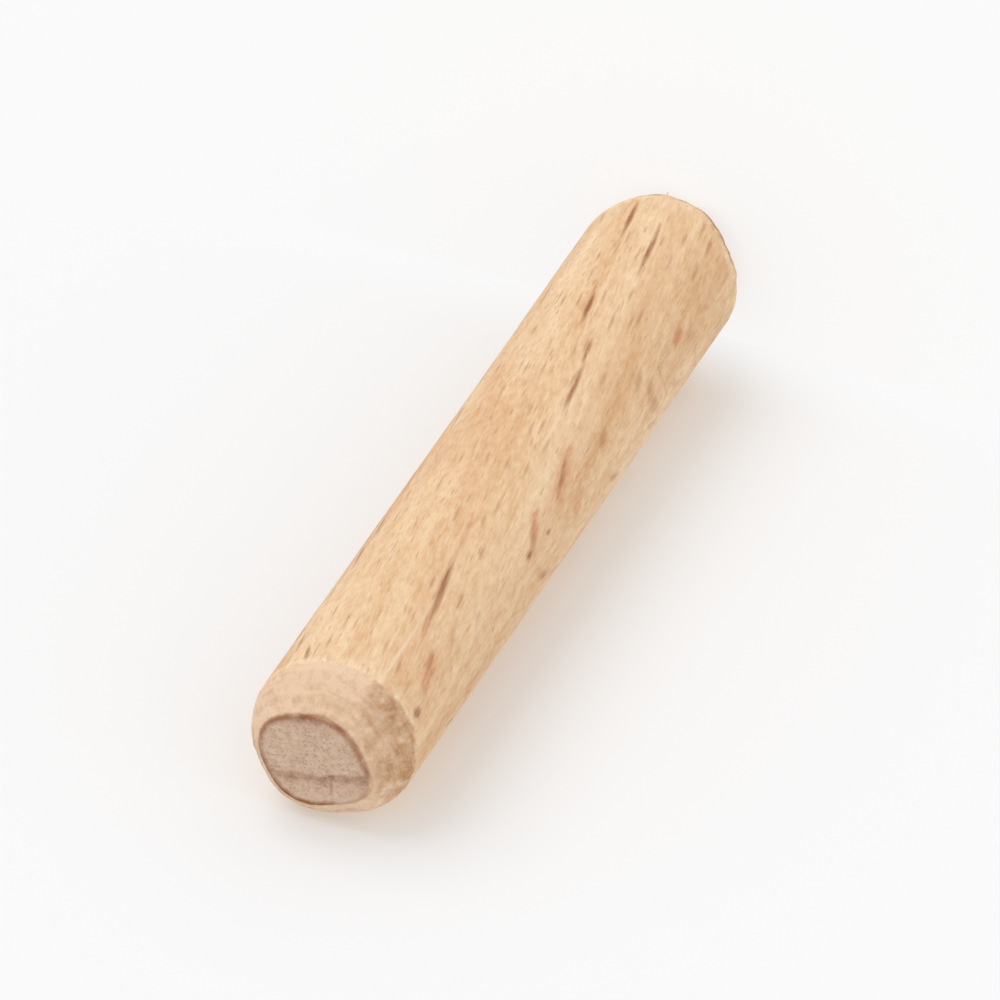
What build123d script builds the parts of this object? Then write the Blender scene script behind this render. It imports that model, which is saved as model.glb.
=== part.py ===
from build123d import *
import math
import os

# A smooth beech dowel pin, 8 x 40 mm, standing on one end.
# Lengths are in millimetres and angles in degrees. +Z runs along the pin, and
# the origin is the middle of the end that it stands on.

# The barrel is turned round and sanded smooth, with no flutes.
PIN_DIAMETER = 8.0
PIN_LENGTH = 40.0

# A hollow conical cutter chamfers both ends. This is the angle from the
# pin's axis to the side of the cone.
CUTTER_ANGLE = 48.0

# Neither end went into the cutter quite in line, so each chamfer is wide on
# one side and narrow on the other, and the cone meets the barrel on a
# slanting line. The widths are measured across the pin. The narrow side is an
# angle round the pin, from +X towards +Y, and the two ends' narrow sides are
# opposite each other.
TOP_CHAMFER_WIDE = 1.9
TOP_CHAMFER_NARROW = 0.75
TOP_NARROW_SIDE = 100.0
BASE_CHAMFER_WIDE = 1.85
BASE_CHAMFER_NARROW = 0.95
BASE_NARROW_SIDE = -80.0

# Radii of the worn edges: the shoulders between barrel and chamfer, and the
# rims between chamfer and end face
SHOULDER_WEAR = 0.8
RIM_WEAR = 0.12

PIN_RADIUS = PIN_DIAMETER / 2


def cutter(wide, narrow, narrow_side):
    """The room inside the cutter, when it has cut a chamfer with these widths
    on an end face at Z = 0. It opens downwards for the length of the pin, and
    its centre is off the pin's, towards the narrow side."""
    face_radius = PIN_RADIUS - (wide + narrow) / 2
    spread = PIN_LENGTH * math.tan(math.radians(CUTTER_ANGLE))
    cone = Cone(
        bottom_radius=face_radius + spread,
        top_radius=face_radius,
        height=PIN_LENGTH,
        align=(Align.CENTER, Align.CENTER, Align.MAX),
    )
    return Rot(0, 0, narrow_side) * Pos((wide - narrow) / 2, 0, 0) * cone


def chamfered_rod():
    """The turned rod cut to length, with what the cutter leaves at each end."""
    rod = Cylinder(
        radius=PIN_RADIUS,
        height=PIN_LENGTH,
        align=(Align.CENTER, Align.CENTER, Align.MIN),
    )
    top = cutter(TOP_CHAMFER_WIDE, TOP_CHAMFER_NARROW, TOP_NARROW_SIDE)
    base = cutter(BASE_CHAMFER_WIDE, BASE_CHAMFER_NARROW, BASE_NARROW_SIDE)
    return rod & Pos(0, 0, PIN_LENGTH) * top & mirror(base, about=Plane.XY)


def wear(pin, surface, radius):
    """Round the edges at the ends of every surface of one type."""
    round_edges = pin.faces().filter_by(surface).edges().filter_by(GeomType.LINE, reverse=True)
    return fillet(round_edges, radius)


def dowel_pin():
    pin = chamfered_rod()
    pin = wear(pin, GeomType.PLANE, RIM_WEAR)
    pin = wear(pin, GeomType.CYLINDER, SHOULDER_WEAR)
    pin.label = "dowel_pin"
    return pin


os.makedirs("parts", exist_ok=True)
export_step(dowel_pin(), "parts/dowel_pin.step")
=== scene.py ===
import math
from types import SimpleNamespace

import bmesh
import bpy
from mathutils import Matrix, Vector, noise


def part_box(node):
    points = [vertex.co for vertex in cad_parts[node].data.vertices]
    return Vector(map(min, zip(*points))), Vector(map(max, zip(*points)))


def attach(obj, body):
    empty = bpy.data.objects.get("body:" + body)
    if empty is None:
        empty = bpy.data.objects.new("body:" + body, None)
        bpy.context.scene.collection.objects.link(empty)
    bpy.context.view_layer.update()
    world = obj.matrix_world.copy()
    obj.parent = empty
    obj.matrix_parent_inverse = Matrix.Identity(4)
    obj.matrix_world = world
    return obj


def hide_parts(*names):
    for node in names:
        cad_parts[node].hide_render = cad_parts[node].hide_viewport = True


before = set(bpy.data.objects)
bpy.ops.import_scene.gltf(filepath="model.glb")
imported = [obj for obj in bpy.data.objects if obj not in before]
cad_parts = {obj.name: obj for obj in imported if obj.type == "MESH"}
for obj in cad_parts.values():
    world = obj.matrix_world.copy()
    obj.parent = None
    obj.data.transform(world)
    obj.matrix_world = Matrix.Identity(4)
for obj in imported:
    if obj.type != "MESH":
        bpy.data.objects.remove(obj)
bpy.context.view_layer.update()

# The frame is in metres. Sizes below are in millimetres and degrees.
MM = 0.001

# The turned pin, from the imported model's box
low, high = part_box("dowel_pin")
PIN_RADIUS = (high.x - low.x) / 2 / MM
PIN_LENGTH = (high.z - low.z) / MM
PIN_MIDDLE = Vector((0, 0, PIN_LENGTH / 2))
TOP_MIDDLE = Vector((0, 0, PIN_LENGTH))

# The chamfer cutter's side, from the pin's axis, and the wear of its edges
CUTTER_SIDE = math.radians(48.0)
CUTTER_SLOPE = math.tan(CUTTER_SIDE)
SHOULDER_WEAR = 0.30
RIM_WEAR = 0.10

# The depth below an end face at which the unevenness of its rim has run out
LOBES_GONE = 2.4

# Waves along the shoulders: how high each is, and how many noise steps it
# takes in a millimetre. The shift, a share of the pin's length, gives the two
# ends waves of their own.
SHOULDER_WAVES = ((0.15, 0.55), (0.06, 2.1))
WAVE_SHIFT = 0.55

# How deep each surface was left by its tool, and how much each kind of
# unevenness adds to that
SANDED = SimpleNamespace(depth=0.05, turning=0.022, sanding=0.022, fibres=0.014)
CUT = SimpleNamespace(depth=0.06, chatter=0.05, tears=0.04, fibres=0.014, slip=0.11)
SAWN = SimpleNamespace(depth=0.014, marks=0.014)

# Where the cutter slipped and cut the top chamfer deeper, as angles from the
# middle of the seen side. Each pair is where the slip has no depth and where
# it has all of it, at its start, which is a ridge, and where it runs out.
SLIP_STARTS = (-18, -24)
SLIP_ENDS = (-88, -50)

# The side of the pin that the picture shows, as an angle round the pin
SEEN_SIDE = -71.4

# How finely the mesh is cut. The rings are closer beside the shoulders: along
# the barrel for a distance, and on the chamfer for a share of it. The face's
# rings are given as steps inwards, as shares of its radius.
STEPS_ROUND = 320
BARREL_CUTS = 204
SHOULDER_CUTS = 7
SHOULDER_REACH = 0.6
SHOULDER_SHARE = 0.4
CONE_CUTS = 10
FACE_STEPS = (0.018, 0.018, 0.024, 0.04, 0.07, 0.1, 0.13, 0.15, 0.15, 0.14, 0.12)


def direction(angle):
    """The way out from the pin's axis at an angle round the pin."""
    return Vector((math.cos(math.radians(angle)), math.sin(math.radians(angle)), 0))


def smooth(low, high, value):
    """0 below low and 1 above high, or the other way about if low is more."""
    share = min(max((value - low) / (high - low), 0), 1)
    return share * share * (3 - 2 * share)


def chamfered_end(height, out, wide, narrow, narrow_side, lobes, blunt_side, blunt):
    """What the cutter left at one end. The chamfer's widths are measured
    across the pin, and out is 1 at the top and -1 at the base."""
    return SimpleNamespace(
        height=height,
        out=out,
        face_radius=PIN_RADIUS - (wide + narrow) / 2,
        centre=direction(narrow_side) * (wide - narrow) / 2,
        lobes=lobes,
        blunt_side=blunt_side,
        blunt=blunt,
    )


# Lobes of a rim that the cutter left uneven: how many there are round it, how
# high, and where the first one is. No lobes at all is an even growth. Beside
# each narrow side the cone is blunter.
TOP_LOBES = ((0, -0.02, 0), (1, 0.16, 70), (2, 0.06, 40), (3, 0.05, -33), (4, 0.11, 22))
BASE_LOBES = ((1, 0.05, 150), (2, 0.11, -50), (3, 0.05, 70))
TOP = chamfered_end(PIN_LENGTH, 1, 1.9, 0.75, 100, TOP_LOBES, 120, 0.22)
BASE = chamfered_end(0, -1, 1.85, 0.95, -80, BASE_LOBES, -50, 0.50)

# A fibre that stands up at the base: its side, how high over the face it is,
# how far it stands out, how far it leans down, and the size of its tip as a
# share of its root
FIBRE_SIDE = -44
FIBRE_PLACE = 0.42
FIBRE_HEIGHT = 0.12
FIBRE_LEANS_DOWN = 0.12
FIBRE_TIP = 0.35

# The beech. Rays run out from the tree's middle, growth rings lie across
# them, and the fibres lean a little off the pin's axis. The tree's middle is
# at a distance from the pin's axis, and one ring ends at a distance from it.
RAY_WAY = -32.4
FIBRE_LEAN = Vector((0.149, 0.050, -1)).normalized()
TREE_MIDDLE = 14.0
RING_WIDTH = 3.3
RING_AT = 15.1


def grain_frame():
    """The turn from the pin's axes to the wood's: along the rays, along the
    rings, and along the fibres."""
    ray = direction(RAY_WAY)
    ray = (ray - FIBRE_LEAN * ray.dot(FIBRE_LEAN)).normalized()
    return Matrix((ray, FIBRE_LEAN.cross(ray), FIBRE_LEAN))


TO_GRAIN = grain_frame()


def nearest_end(co):
    return TOP if co.z > PIN_LENGTH / 2 else BASE


def lobe(end, co):
    """How far the rim bulges on a point's side of the end."""
    angle = math.atan2(co.y - end.centre.y, co.x - end.centre.x)
    return sum(rise * math.cos(count * (angle - math.radians(first))) for count, rise, first in end.lobes)


def across(end, co):
    """How far a point is from the middle of an end face, seen end on."""
    return (co.xy - end.centre.xy).length


def shoulder_depth(end, co):
    """How deep under the end face the cutter's cone meets the barrel, on the
    side where a point is."""
    way = Vector((co.x, co.y, 0)).normalized()
    corner = way * PIN_RADIUS
    bulge = lobe(end, corner)
    depth = (across(end, corner) - end.face_radius - bulge) / (CUTTER_SLOPE - bulge / LOBES_GONE)
    spot = corner + Vector((0, 0, end.height * WAVE_SHIFT))
    wave = sum(rise * noise.noise(spot * pace) for rise, pace in SHOULDER_WAVES)
    blunt = end.blunt * max(way.dot(direction(end.blunt_side)), 0) ** 2
    return depth + wave - blunt


def ring(mesh, radius, height, centre=Vector((0, 0, 0))):
    """A circle of vertices round the pin."""
    place = Matrix.Translation(centre + Vector((0, 0, height)))
    made = bmesh.ops.create_circle(mesh, cap_ends=False, segments=STEPS_ROUND, radius=radius, matrix=place)
    return made["verts"]


def rim(mesh, end):
    """The edge of an end face, with its lobes."""
    verts = ring(mesh, end.face_radius, end.height, end.centre)
    for v in verts:
        reach = 1 + lobe(end, v.co) / end.face_radius
        v.co.xy = end.centre.xy + (v.co.xy - end.centre.xy) * reach
    return verts


def barrel_ring(mesh, end, distance):
    """A ring on the barrel, at a distance from the end's shoulder."""
    verts = ring(mesh, PIN_RADIUS, end.height)
    for v in verts:
        v.co.z -= end.out * (shoulder_depth(end, v.co) + distance)
    return verts


def part_way(mesh, one, other, share):
    """A ring between two others, nearer the first if the share is small."""
    verts = ring(mesh, PIN_RADIUS, 0)
    for v, start, stop in zip(verts, one, other):
        v.co = start.co.lerp(stop.co, share)
    return verts


def edges_between(verts):
    """The edges that have both ends in a set of vertices."""
    chosen = set(verts)
    return [e for e in {e for v in verts for e in v.link_edges} if chosen.issuperset(e.verts)]


def walls(mesh, rings, cuts):
    """Join rings one after another, and cut each wall into finer rings."""
    risers = []
    for one, other in zip(rings, rings[1:]):
        made = bmesh.ops.bridge_loops(mesh, edges=edges_between(one) + edges_between(other))
        risers.append(made["edges"])
    for edges, count in zip(risers, cuts):
        bmesh.ops.subdivide_edges(mesh, edges=edges, cuts=count, use_grid_fill=False)


def close_face(mesh, cap, end):
    """Draw rings on an end face, and close the last one to its middle."""
    middle = Matrix.Translation(-end.centre)
    share = 1
    for step in FACE_STEPS:
        shrink = (share - step) / share
        share -= step
        cap = bmesh.ops.extrude_discrete_faces(mesh, faces=[cap])["faces"][0]
        bmesh.ops.scale(mesh, vec=(shrink, shrink, 1), space=middle, verts=cap.verts)
    bmesh.ops.poke(mesh, faces=[cap])


def turned_pin():
    """The pin as it left the cutter, with sharp edges."""
    mesh = bmesh.new()
    rings = []
    for end in (BASE, TOP):
        edge = rim(mesh, end)
        corner = barrel_ring(mesh, end, 0)
        cone = part_way(mesh, corner, edge, SHOULDER_SHARE)
        rings.append([edge, cone, corner, barrel_ring(mesh, end, SHOULDER_REACH)])
    cuts = [CONE_CUTS, SHOULDER_CUTS, SHOULDER_CUTS]
    walls(mesh, rings[0] + rings[1][::-1], cuts + [BARREL_CUTS] + cuts[::-1])
    bmesh.ops.holes_fill(mesh, edges=[e for e in mesh.edges if e.is_boundary], sides=0)
    for cap in [f for f in mesh.faces if len(f.verts) > 4]:
        close_face(mesh, cap, nearest_end(cap.calc_center_median()))
    bmesh.ops.recalc_face_normals(mesh, faces=mesh.faces)
    return mesh


def mark_places(mesh):
    """Keep on every point how far it is outside its end's rim, less than 0 on
    the face, and how far under the cutter's cone, 0 on the chamfer and less
    than 0 on the barrel."""
    past_rim = mesh.verts.layers.float.new("past_rim")
    past_cut = mesh.verts.layers.float.new("past_cut")
    for v in mesh.verts:
        end = nearest_end(v.co)
        v[past_rim] = across(end, v.co) - end.face_radius - lobe(end, v.co)
        depth = (end.height - v.co.z) * end.out
        v[past_cut] = -max(depth - shoulder_depth(end, v.co), 0) * math.sin(CUTTER_SIDE)
    return past_rim, past_cut


def worn_off(one, other, wear):
    """How much of an edge is worn off, at two distances from its sides."""
    return math.hypot(max(one + wear, 0), max(other + wear, 0)) - wear


def wear_edges(mesh, past_rim, past_cut):
    """Round the shoulders and the rims, pushing their points inwards."""
    mesh.normal_update()
    for v in mesh.verts:
        end = nearest_end(v.co)
        cone = min(v[past_rim] * math.cos(CUTTER_SIDE), v[past_cut])
        barrel = v.co.xy.length - PIN_RADIUS
        face = (v.co.z - end.height) * end.out
        worn = max(worn_off(cone, barrel, SHOULDER_WEAR), worn_off(cone, face, RIM_WEAR), 0)
        v.co -= v.normal * worn


def uneven(x, y, z):
    """Smooth noise, from about -1 to 1."""
    return noise.noise(Vector((x, y, z)))


def hollow(co, grain, past_rim, past_cut):
    """How deep the surface of the wood lies under the tool's cut. Each pattern
    of noise has its own size in millimetres, or its own pace round the pin."""
    on_face = smooth(0.05, -0.05, past_rim)
    on_cone = smooth(-0.30, -0.03, past_cut) * (1 - on_face)
    on_barrel = (1 - on_cone) * (1 - on_face)
    out = Vector((co.x, co.y, 0)).normalized()
    turning = uneven(out.x, out.y, co.z / 9)
    sanding = uneven(out.x * 2.4, out.y * 2.4, co.z / 34)
    fibres = uneven(grain.x / 0.26, grain.y / 0.26, grain.z / 7)
    chatter = uneven(out.x * 2.3, out.y * 2.3, co.z / 3 + 7)
    tears = uneven(co.x / 0.42, co.y / 0.42, co.z / 0.42)
    sawn = uneven(co.x / 0.5, co.y / 0.5, 3)
    barrel = SANDED.depth + SANDED.turning * turning + SANDED.sanding * sanding + SANDED.fibres * fibres
    cone = CUT.depth + CUT.chatter * chatter + CUT.tears * tears + CUT.fibres * fibres
    cone += CUT.slip * second_cut(co)
    face = SAWN.depth + SAWN.marks * sawn
    return on_barrel * barrel + on_cone * cone + on_face * face


def second_cut(co):
    """1 where the cutter slipped and cut the top chamfer deeper."""
    side = math.degrees(math.atan2(co.y, co.x)) - SEEN_SIDE
    return smooth(*SLIP_STARTS, side) * smooth(*SLIP_ENDS, side) * (co.z > PIN_LENGTH / 2)


def weather(mesh, past_rim, past_cut):
    """Give every surface the unevenness of cut and sanded wood."""
    mesh.normal_update()
    depths = [hollow(v.co, TO_GRAIN @ (v.co - TOP_MIDDLE), v[past_rim], v[past_cut]) for v in mesh.verts]
    for v, depth in zip(mesh.verts, depths):
        v.co -= v.normal * max(depth, 0)


def lift_fibre(mesh):
    """Pull up the fibre that the cutter left standing at the base."""
    spot = direction(FIBRE_SIDE) * PIN_RADIUS + Vector((0, 0, FIBRE_PLACE))
    face = min(mesh.faces, key=lambda f: (f.calc_center_median() - spot).length_squared)
    out = face.normal * FIBRE_HEIGHT - Vector((0, 0, FIBRE_LEANS_DOWN))
    tip = bmesh.ops.extrude_discrete_faces(mesh, faces=[face])["faces"][0]
    middle = Matrix.Translation(-tip.calc_center_median())
    bmesh.ops.scale(mesh, vec=(FIBRE_TIP, FIBRE_TIP, FIBRE_TIP), space=middle, verts=tip.verts)
    bmesh.ops.translate(mesh, vec=out, verts=tip.verts)


def dressed_pin():
    """The finished pin as an object."""
    mesh = turned_pin()
    past_rim, past_cut = mark_places(mesh)
    wear_edges(mesh, past_rim, past_cut)
    weather(mesh, past_rim, past_cut)
    mesh.normal_update()
    lift_fibre(mesh)
    bmesh.ops.scale(mesh, vec=(MM, MM, MM), verts=mesh.verts)
    data = bpy.data.meshes.new("turned_pin")
    mesh.to_mesh(data)
    mesh.free()
    data.shade_smooth()
    made = bpy.data.objects.new("turned_pin", data)
    bpy.context.scene.collection.objects.link(made)
    return made


pin = dressed_pin()
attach(pin, "root")
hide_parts("dowel_pin")


class Wire:
    """An output of a shader node. Sums written on it add Math nodes."""

    def __init__(self, tree, socket=None):
        self.tree = tree
        self.socket = socket

    def node(self, kind, settings, inputs, output=0):
        """Add a node: its settings first, then the values or links of its
        inputs. The result is one of its outputs, by name or by number."""
        made = self.tree.nodes.new("ShaderNode" + kind)
        for name, value in settings.items():
            setattr(made, name, value)
        for name, value in inputs.items():
            if isinstance(value, Wire):
                self.tree.links.new(value.socket, made.inputs[name])
            else:
                made.inputs[name].default_value = value
        return Wire(self.tree, made.outputs[output])

    def feed(self, socket):
        """Link it to an input of another node."""
        self.tree.links.new(self.socket, socket)

    def math(self, operation, *values):
        return self.node("Math", {"operation": operation}, dict(enumerate(values)))

    def __add__(self, other):
        return self.math("ADD", self, other)

    def __radd__(self, other):
        return self.math("ADD", other, self)

    def __sub__(self, other):
        return self.math("SUBTRACT", self, other)

    def __rsub__(self, other):
        return self.math("SUBTRACT", other, self)

    def __mul__(self, other):
        return self.math("MULTIPLY", self, other)

    def __rmul__(self, other):
        return self.math("MULTIPLY", other, self)

    def __truediv__(self, other):
        return self.math("DIVIDE", self, other)

    def __rtruediv__(self, other):
        return self.math("DIVIDE", other, self)

    def most(self, other):
        """The larger of two values."""
        return self.math("MAXIMUM", self, other)

    def size(self):
        """The value without its sign."""
        return self.math("ABSOLUTE", self)

    def part(self):
        """What is left of the value over a whole number."""
        return self.math("FRACT", self)

    def between(self, low, high):
        """0 at low and 1 at high, or the other way about if low is more."""
        inputs = {"Value": self, "From Min": low, "From Max": high}
        return self.node("MapRange", {"interpolation_type": "SMOOTHSTEP"}, inputs)

    def mix(self, one, other):
        """One colour where this is 0 and the other where it is 1. Sockets for
        other kinds of values have the same names, so these go by number."""
        return self.node("Mix", {"data_type": "RGBA"}, {0: self, 6: one, 7: other}, 2)

    def mix_shaders(self, one, other):
        """One shader where this is 0 and the other where it is 1."""
        return self.node("MixShader", {}, {0: self, 1: one, 2: other})

    def mapped(self, scale=(1, 1, 1), turn=(0, 0, 0), place=(0, 0, 0), kind="POINT"):
        """Coordinates scaled, turned and moved. The kind TEXTURE does it the
        other way about, so a unit circle gets that size, turn and place."""
        inputs = {"Vector": self, "Location": place, "Rotation": turn, "Scale": scale}
        return self.node("Mapping", {"vector_type": kind}, inputs)

    def stretched(self, across, along):
        """Grain coordinates for a pattern of one size across and along."""
        return self.mapped((1 / across, 1 / across, 1 / along))

    def clouds(self, detail=2, roughness=0.5, seed=0):
        """Even noise about 0, in the coordinates that this is."""
        inputs = {"Vector": self, "W": seed, "Scale": 1, "Detail": detail, "Roughness": roughness}
        return self.node("TexNoise", {"noise_dimensions": "4D"}, inputs) - 0.5

    def cells(self, output):
        """Cells of one size: the Distance from the middle of the nearest cell,
        a Color for each cell, or the Position of its middle."""
        inputs = {"Vector": self, "Scale": 1, "Randomness": 1}
        return self.node("TexVoronoi", {"feature": "F1"}, inputs, output)

    def axis(self, name):
        """The coordinate X, Y or Z."""
        return self.node("SeparateXYZ", {}, {"Vector": self}, name)

    def minus(self, other):
        return self.node("VectorMath", {"operation": "SUBTRACT"}, {0: self, 1: other})

    def along(self, way):
        """How far coordinates lie in a direction."""
        return self.node("VectorMath", {"operation": "DOT_PRODUCT"}, {0: self, 1: way}, "Value")

    def length(self):
        return self.node("VectorMath", {"operation": "LENGTH"}, {0: self}, "Value")


def colour(red, green, blue):
    """A colour as a screen shows it, 0 to 255, for a shader."""
    def linear(part):
        part /= 255
        return part / 12.92 if part <= 0.04045 else ((part + 0.055) / 1.055) ** 2.4
    return (linear(red), linear(green), linear(blue), 1)


# The wood's colours
PALE = colour(250, 221, 182)
WARM = colour(222, 174, 126)
CREAM = colour(253, 231, 199)
PORE_BROWN = colour(186, 132, 90)
FLECK_BROWN = colour(160, 98, 60)
FLECK_RED = colour(204, 130, 84)
CHAMFER_LIGHT = colour(241, 208, 175)
CHAMFER_DARK = colour(190, 142, 100)
SAWN_LIGHT = colour(227, 198, 172)
SAWN_SHADE = colour(203, 167, 139)
SAWN_PINK = colour(208, 162, 140)
SAWN_DARK = colour(146, 106, 78)
BURNT = colour(156, 98, 66)

# The side of the chamfers that is darker: painted shade, as it faces away from the light, and on the top
# chamfer also the torn cut where the cutter slipped
TORN_AND_SHADED_SIDE = -125

# The side where the cutter burnt the rims most, and the middle of the stretch
# of the top rim where the burn is faded
SCORCH_SIDE = 88
FADED_PLACE = TOP_MIDDLE + TOP.centre + direction(-165) * 2.6

# A short drying check in the top face: its middle, its turn, and half its
# width and length
CHECK_PLACE = (-1.54, 0.88, PIN_LENGTH)
CHECK_TURN = math.radians(44)
CHECK_SIZE = (0.09, 0.52, 1)

# Flecks that the picture shows, each from one place to another. A place is
# the distance from the top end and the angle round the pin, counted from the
# middle of the seen side. Then come the fleck's width and how strong it is.
BROWN_FLECKS = (
    (2.15, -38.5, 3.1, -37, 0.52, 0.7),
    (6.9, -8, 11.4, 3.2, 0.40, 0.72),
    (8.2, -4.5, 11.2, 2.5, 0.34, 0.65),
    (14.7, -41, 15.5, -40, 0.40, 0.7),
    (16.9, -43, 17.4, -42, 0.30, 0.65),
    (18.9, -32, 21.2, -19, 0.34, 0.4),
    (23.0, -1, 26.6, 6, 0.27, 0.75),
    (26.4, 7, 28.4, 11.5, 0.24, 0.65),
    (29.0, 5, 30.7, 8.5, 0.20, 0.4),
    (29.0, 24, 31.6, 30, 0.30, 0.85),
    (33.3, 10, 37.5, 18, 0.30, 0.75),
    (35.7, 37, 38.9, 43.5, 0.30, 0.8),
    (1.9, 51, 3.3, 57, 0.28, 0.6),
    (2.9, 66, 4.6, 72, 0.26, 0.5),
    (9.6, 70, 12.0, 78, 0.26, 0.55),
)
RED_FLECKS = (
    (3.2, -35.5, 6.1, -21.5, 0.74, 0.68),
    (5.6, -11, 7.8, -5, 0.30, 0.5),
    (11.4, 3, 14.5, 9, 0.26, 0.35),
    (15.2, -40, 17.5, -21, 0.66, 0.65),
    (18.1, -37, 22.1, -15, 0.95, 0.6),
    (19.4, -62, 21.0, -40, 0.75, 0.4),
    (31.6, -40.5, 33.2, -36, 0.70, 0.65),
)
# Pale threads beside them
THREADS = (
    (0.8, -3.5, 7.2, -3.0, 0.24, 0.7),
    (1.6, -40.5, 4.2, -31, 0.32, 0.65),
    (20.0, -3.6, 26.0, 2.6, 0.22, 0.5),
    (27.0, 16, 36.0, 33, 0.20, 0.4),
)


def streak(around, start, start_angle, stop, stop_angle, width):
    """A mask for one streak on the barrel, 1 at its middle."""
    arc = math.radians(1) * PIN_RADIUS
    middle = ((start_angle + stop_angle) / 2 * arc, (start + stop) / 2, 0)
    run = Vector(((stop_angle - start_angle) * arc, stop - start))
    lean = math.atan2(run.x, run.y)
    half = (width / 2, run.length / 2, 1)
    return around.mapped(half, (0, 0, -lean), middle, "TEXTURE").length().between(1.3, 0.25)


def rays(grain, spacing, height, thickness, tallness, seed):
    """Wood rays as the fibres part round them: each is a thin sheet, seen as
    a spindle on its edge. 1 in the middle of a ray."""
    flat = grain.mapped((0, 1 / spacing, 1 / height), place=(seed, 0, 0))
    off = flat.minus(flat.cells("Position"))
    shape = off.mapped((0, spacing / thickness, height / tallness)).length()
    chosen = flat.cells("Color").axis("X").between(0.35, 0.9)
    return shape.between(1.1, 0.15) * chosen


def grown_wood(place, grain):
    """How the wood varies on any cut through it. Patterns that follow the
    grain have a size in millimetres, across the fibres and along them. Specks
    and blots have a pace, in noise steps to a millimetre."""
    grown = SimpleNamespace()
    grown.tone = grain.stretched(2.4, 26).clouds(2)
    grown.bands = grain.stretched(0.8, 12).clouds(2, 0.6, seed=3)
    grown.fibres = grain.stretched(0.09, 1.1).clouds(3, 0.7, seed=5)
    grown.mottle = grain.stretched(0.30, 0.65).clouds(3, 0.6, seed=17)
    grown.specks = place.mapped((3.4, 3.4, 3.4)).clouds(3, 0.65, seed=4)
    grown.blots = place.mapped((1.7, 1.7, 1.7)).clouds(3, 0.55, seed=4)
    grown.wobble = grain.stretched(0.35, 1.1).clouds(2, 0.6, seed=11)
    flat = grain.stretched(0.15, 1.3)
    chosen = flat.cells("Color").axis("X").between(0.2, 0.9)
    grown.pores = flat.cells("Distance").between(0.34, 0.12) * chosen
    bend = grain.stretched(1.5, 14).clouds(2, 0.5, seed=8)
    from_middle = grain.mapped((1, 1, 0), place=(-TREE_MIDDLE, 0, 0)).length() + bend * 1.1
    year = ((from_middle - RING_AT) / -RING_WIDTH).part()
    grown.late_wood = year.between(0.55, 0.96) * year.between(1.0, 0.97)
    grown.ring_line = year.between(0.80, 0.92) * year.between(1.0, 0.94)
    return grown


def round_the_pin(place, grown):
    """The way round the barrel from the middle of the seen side. Then that
    way and the distance from the top end together, a little shaken."""
    seen = place.mapped(turn=(0, 0, -math.radians(SEEN_SIDE)))
    arc = seen.math("ARCTAN2", seen.axis("Y"), seen.axis("X")) * PIN_RADIUS
    down = PIN_LENGTH - place.axis("Z")
    inputs = {"X": arc + grown.wobble * 0.24, "Y": down + grown.wobble * 0.8}
    return arc, place.node("CombineXYZ", {}, inputs)


def streaks(around, places):
    """A mask for all the streaks of one kind."""
    whole = None
    for start, start_angle, stop, stop_angle, width, strength in places:
        mask = streak(around, start, start_angle, stop, stop_angle, width) * strength
        whole = mask if whole is None else whole.most(mask)
    return whole


def sanded_wood(grown):
    """The colour of the barrel between its flecks."""
    shade = grown.tone * 1.2 + grown.bands + grown.mottle * 1.3 + grown.fibres * 1.2 + 0.55
    wood = shade.mix(PALE, WARM)
    wood = (grown.late_wood * 0.14).mix(wood, FLECK_RED)
    return (grown.pores * 0.42).mix(wood, PORE_BROWN)


def flecked_wood(wood, place, grain, grown):
    """Rays and flecks drawn on the sanded wood. Large rays keep to the side
    away from the picture."""
    arc, around = round_the_pin(place, grown)
    brown = streaks(around, BROWN_FLECKS)
    red = streaks(around, RED_FLECKS)
    pale = streaks(around, THREADS)
    unseen = arc.size().between(PIN_RADIUS * 1.05, PIN_RADIUS * 1.5)
    large = rays(grain, spacing=1.3, height=4.2, thickness=0.13, tallness=1.7, seed=1)
    small = rays(grain, spacing=0.6, height=2.1, thickness=0.09, tallness=0.8, seed=2)
    brown = brown.most(large * unseen * 0.8).most(small * (unseen * 0.12 + 0.36))
    broken = grown.fibres * 1.6 + 0.95
    wood = (pale * (broken + grown.mottle * 2.0 - 0.1) * 0.8).mix(wood, CREAM)
    wood = (red * (broken + grown.mottle * 1.5)).mix(wood, FLECK_RED)
    return (brown * (broken + 0.15)).mix(wood, FLECK_BROWN)


def cut_wood(place, grown):
    """The colour of the chamfers, cut across the fibres. Their side away from the light is darker: painted
    shade, and on the top chamfer also the torn cut where the cutter slipped.
    """
    turned = place.mapped((0.3, 0.3, 6)).clouds(2, 0.6, seed=6)
    torn_and_shaded = (place.along(direction(TORN_AND_SHADED_SIDE)) / PIN_RADIUS).between(0.35, 0.8)
    shade = grown.blots + grown.specks * 0.4 + turned * 0.9 + grown.mottle + grown.tone * 1.2 + 0.13
    # Painted shade on the side away from the light, and the torn cut on the top chamfer
    shade = shade + torn_and_shaded * (grown.blots * 0.9 + 0.50)
    return shade.mix(CHAMFER_LIGHT, CHAMFER_DARK)


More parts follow.
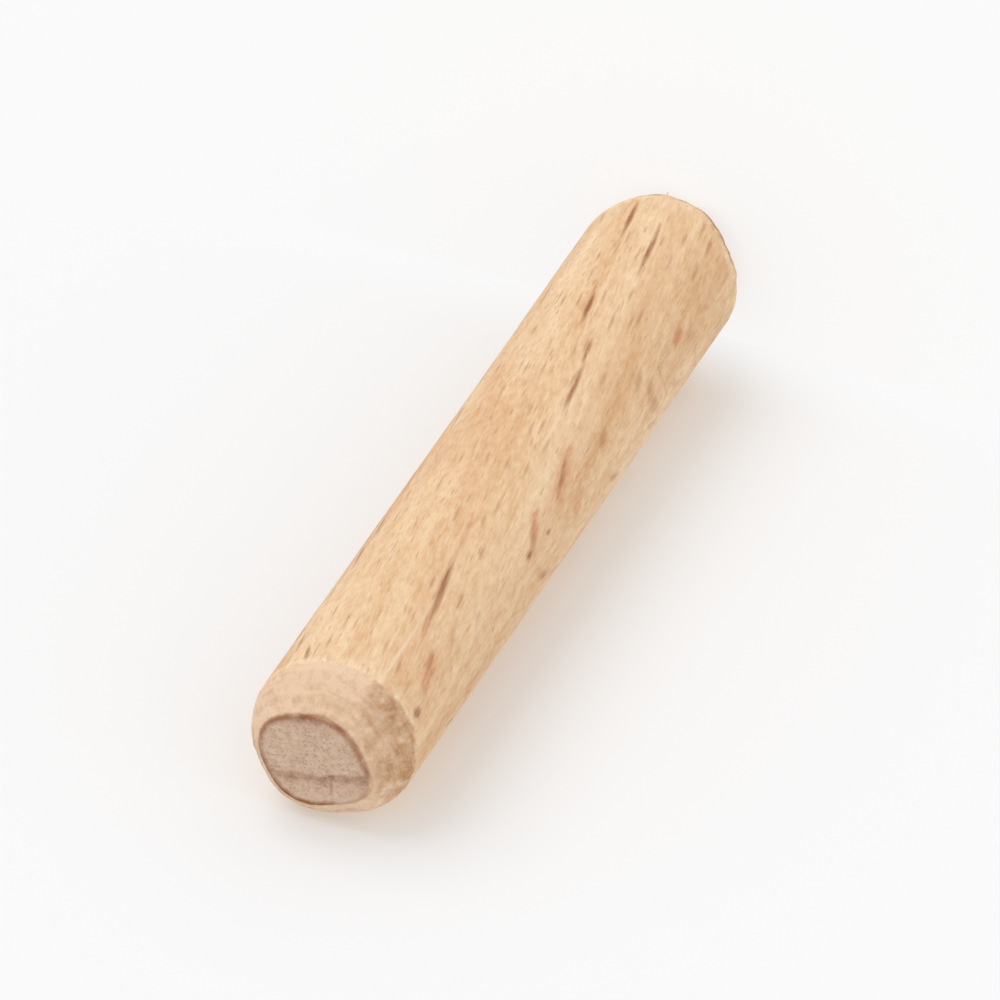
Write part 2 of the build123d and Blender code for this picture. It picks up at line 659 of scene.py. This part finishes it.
def sawn_wood(place, grain, grown):
    """The colour of the end faces, rays and vessels end on, and where the
    vessels are open."""
    fans = grain.mapped((1 / 1.8, 1 / 0.09, 0)).clouds(2, 0.6, seed=9)
    layers = grain.mapped((1 / 0.16, 1 / 1.6, 0)).clouds(2, 0.6, seed=19)
    vessels = grain.mapped((6.5, 6.5, 0.1)).cells("Distance").between(0.42, 0.12)
    shade = grown.blots * 1.7 + grown.specks * 2.2 + layers * 1.3 + grown.ring_line * 0.3 + 0.38
    wood = shade.mix(SAWN_LIGHT, SAWN_SHADE)
    wood = (grown.late_wood * 0.45).mix(wood, SAWN_PINK)
    wood = (fans * 1.6).between(0.1, 0.8).mix(wood, PALE)
    wood = (vessels * (0.30 + layers * 0.9)).mix(wood, SAWN_DARK)
    wood = (grown.ring_line * (grown.specks * 1.2 + grown.blots * 1.6 + 0.37)).mix(wood, SAWN_DARK)
    check = place.mapped(CHECK_SIZE, (0, 0, CHECK_TURN), CHECK_PLACE, "TEXTURE").length()
    wood = ((check + grown.specks * 0.8).between(1.2, 0.4) * 0.45).mix(wood, SAWN_DARK)
    return wood, vessels


def scorch(past_rim, place, grown):
    """How strongly the cutter burnt the rims, in a band along their edge."""
    patch = place.mapped((0.6, 0.6, 0.6)).clouds(2, 0.6, seed=13)
    side = place.along(direction(SCORCH_SIDE)) / PIN_RADIUS
    edge = past_rim + grown.wobble * 0.12 + patch * 0.14 + side * 0.11
    band = edge.between(-0.34, -0.03) * edge.between(0.18, 0.02)
    faded = place.mapped(place=-FADED_PLACE).length().between(2.4, 0.8)
    return band * (patch * 2.8 + side * 0.16 + 0.66 - faded * 0.45)


def beech():
    """Steamed beech, sanded on the barrel, cut on the chamfers, sawn on the
    end faces."""
    material = bpy.data.materials.new("beech")
    material.use_nodes = True
    tree = material.node_tree
    shader = tree.nodes["Principled BSDF"]
    start = Wire(tree)
    place = start.node("TexCoord", {}, {}, "Object").mapped((1 / MM, 1 / MM, 1 / MM))
    grain = place.mapped(turn=TO_GRAIN.to_euler(), place=-(TO_GRAIN @ TOP_MIDDLE))
    past_rim = start.node("Attribute", {"attribute_name": "past_rim"}, {}, "Fac")
    past_cut = start.node("Attribute", {"attribute_name": "past_cut"}, {}, "Fac")
    grown = grown_wood(place, grain)

    # Where the end face and the chamfer are, and the pale crest beside the shoulders, which is a painted
    # highlight along their edge
    face = past_rim.between(0.03, -0.03)
    chamfer = (past_cut + grown.wobble * 0.3).between(-0.26, -0.10)
    crest_highlight = (past_cut + grown.mottle * 0.3).between(-0.66, -0.30) * past_cut.between(-0.06, -0.22)
    wood = flecked_wood(sanded_wood(grown), place, grain, grown)
    # Painted highlight: the pale crest along the shoulders, as if their edge caught the light
    wood = (crest_highlight * (grown.blots * 2.6 + grown.specks * 1.2 + grown.bands + 0.18)).mix(wood, CREAM)
    wood = chamfer.mix(wood, cut_wood(place, grown))
    sawn, vessels = sawn_wood(place, grain, grown)
    wood = face.mix(wood, sawn)
    wood = scorch(past_rim, place, grown).mix(wood, BURNT)
    wood.feed(shader.inputs["Base Color"])

    rough = 0.66 + chamfer * 0.06 + face * 0.1 + grown.fibres * 0.14
    rough.feed(shader.inputs["Roughness"])
    relief = grown.fibres * 1.2 + grown.mottle * 0.8 - grown.pores * 0.7
    relief = relief + chamfer * (grown.specks + grown.blots) * 1.2 - face * vessels
    bump = relief.node("Bump", {}, {"Strength": 0.7, "Distance": 0.03 * MM, "Height": relief})
    bump.feed(shader.inputs["Normal"])
    shader.inputs["Specular IOR Level"].default_value = 0.35
    return material


pin.data.materials.append(beech())

# White paper on the floor and on the table that the pin seems to lie on. A
# share of each sheet glows and the rest is lit, so that the pin's shadow is
# pale. The table's share rises beside the floor, where its shadows fade out.
# Each glow makes its sheet as bright as the lit table is away from the pin.
PAPER_WHITE = (0.918, 0.92, 0.922, 1)
FLOOR_SHARE = 0.6
FLOOR_GLOW = 1.182
TABLE_SHARE = 0.1
TABLE_SHARE_LOW = 0.7
TABLE_GLOW = 1.041
SHADOWS_FADE = 5.0

# Half the length of each sheet, how deep the table goes under the floor, and
# the table's gap to the pin
FLOOR_SIZE = 900
TABLE_SIZE = 450
TABLE_SUNK = 10
TABLE_GAP = 0.02

# Light from all round, and how much more of it the camera sees
ROOM_LIGHT = 0.8
ROOM_SEEN = 0.2

# Directions of the table that the pin lies on in the picture, seen from the
# standing pin: up from it, across it, and along the pin to its base
TABLE_SIDE = 45.0
UP = direction(TABLE_SIDE - 90)
ACROSS = direction(TABLE_SIDE - 180)
ALONG = Vector((0, 0, -1))

# How the picture sees the pin: a camera over the table, looking down at the
# middle of the picture. There the picture has a scale, in pixels for each
# millimetre. The pin's place is where the middle of its top end lies from
# there. The lens here is closer, and aimed at the pin.
CAMERA_DISTANCE = 650.0
CAMERA_RISE = math.radians(39.0)
PIN_TURN = math.radians(26.15)
PIN_PLACE = Vector((12.26, -23.82, PIN_RADIUS))
PICTURE_SCALE = 9.335
PICTURE_PIXELS = 1000
CLOSER = 2.3
SENSOR = 36.0
LAMP_DISTANCE = 500
PIN_ALONG = Vector((math.sin(PIN_TURN), math.cos(PIN_TURN), 0))
PIN_ACROSS = Vector((math.cos(PIN_TURN), -math.sin(PIN_TURN), 0))


def from_table(way):
    """A direction on the table, turned to the standing pin's frame."""
    return ACROSS * way.dot(PIN_ACROSS) + ALONG * way.dot(PIN_ALONG) + UP * way.z


def aimed(piece, spot, target, top):
    """Stand a camera or a lamp at a spot, looking at a target."""
    back = (spot - target).normalized()
    right = top.cross(back).normalized()
    turn = Matrix((right, back.cross(right), back)).transposed().to_4x4()
    piece.matrix_world = Matrix.Translation(spot * MM) @ turn
    bpy.context.scene.collection.objects.link(piece)


def picture_camera():
    """The camera, on the picture's line of sight."""
    lens = bpy.data.cameras.new("camera")
    lens.sensor_width = SENSOR
    lens.lens = CLOSER * PICTURE_SCALE * CAMERA_DISTANCE * SENSOR / PICTURE_PIXELS
    lens.clip_start = 0.01
    lens.clip_end = 20
    camera = bpy.data.objects.new("camera", lens)
    table_middle = from_table(-PIN_PLACE) + TOP_MIDDLE
    eye = Vector((0, -math.cos(CAMERA_RISE), math.sin(CAMERA_RISE))) * CAMERA_DISTANCE
    aimed(camera, table_middle + from_table(eye), PIN_MIDDLE, UP)
    bpy.context.scene.camera = camera


def daylight(name, way, strength, softness):
    """Even light from far away, in a direction as the table sees it."""
    light = bpy.data.lights.new(name, "SUN")
    light.energy = strength
    light.angle = math.radians(softness)
    spot = from_table(Vector(way).normalized()) * LAMP_DISTANCE
    aimed(bpy.data.objects.new(name, light), spot, Vector((0, 0, 0)), Vector((0, 0, 1)))


def paper(name, share, share_low, glow):
    """White paper that keeps the pin's shadow, and is clear from behind. A
    share of it glows, and another share beside the floor."""
    material = bpy.data.materials.new(name)
    material.use_nodes = True
    tree = material.node_tree
    tree.nodes.remove(tree.nodes["Principled BSDF"])
    start = Wire(tree)
    matt = start.node("BsdfDiffuse", {}, {"Color": PAPER_WHITE})
    lit = start.node("Emission", {}, {"Color": PAPER_WHITE, "Strength": glow})
    low = start.node("TexCoord", {}, {}, "Object").axis("Z").between(SHADOWS_FADE * MM, 0)
    both = (low * (share_low - share) + share).mix_shaders(matt, lit)
    clear = start.node("BsdfTransparent", {}, {})
    from_behind = start.node("NewGeometry", {}, {}, "Backfacing")
    shown = from_behind.mix_shaders(both, clear)
    shown.feed(tree.nodes["Material Output"].inputs["Surface"])
    return material


def sheet_of_paper(name, turn, size, material):
    """A flat sheet, turned and placed. Only the camera sees it, so it takes no
    light from the pin."""
    shape = bmesh.new()
    bmesh.ops.create_grid(shape, x_segments=1, y_segments=1, size=size * MM, matrix=turn)
    flat = bpy.data.meshes.new(name)
    shape.to_mesh(flat)
    shape.free()
    flat.materials.append(material)
    sheet = bpy.data.objects.new(name, flat)
    sheet.visible_diffuse = False
    sheet.visible_glossy = False
    sheet.visible_shadow = False
    bpy.context.scene.collection.objects.link(sheet)


def room():
    """Light from all round, a little brighter to the camera."""
    world = bpy.data.worlds.new("studio")
    world.use_nodes = True
    background = world.node_tree.nodes["Background"]
    background.inputs["Color"].default_value = (1, 1, 1, 1)
    to_camera = Wire(world.node_tree).node("LightPath", {}, {}, "Is Camera Ray")
    strength = to_camera * ROOM_SEEN + ROOM_LIGHT
    strength.feed(background.inputs["Strength"])
    bpy.context.scene.world = world


def floor_and_table():
    """The floor, and the table, which stands as a wall beside the pin."""
    floor_paper = paper("floor_paper", FLOOR_SHARE, FLOOR_SHARE, FLOOR_GLOW)
    sheet_of_paper("floor", Matrix.Identity(4), FLOOR_SIZE, floor_paper)
    table_turn = Matrix((-ACROSS, -ALONG, UP)).transposed().to_4x4()
    table_middle = Vector((0, 0, TABLE_SIZE - TABLE_SUNK)) - UP * (PIN_RADIUS + TABLE_GAP)
    table_paper = paper("table_paper", TABLE_SHARE, TABLE_SHARE_LOW, TABLE_GLOW)
    sheet_of_paper("table", Matrix.Translation(table_middle * MM) @ table_turn, TABLE_SIZE, table_paper)


picture_camera()
floor_and_table()
daylight("window", (-0.38, 0.32, 0.87), 0.75, 46)
daylight("far_wall", (0.5, -0.6, 0.35), 0.25, 60)
room()
bpy.context.scene.view_settings.view_transform = "Standard"
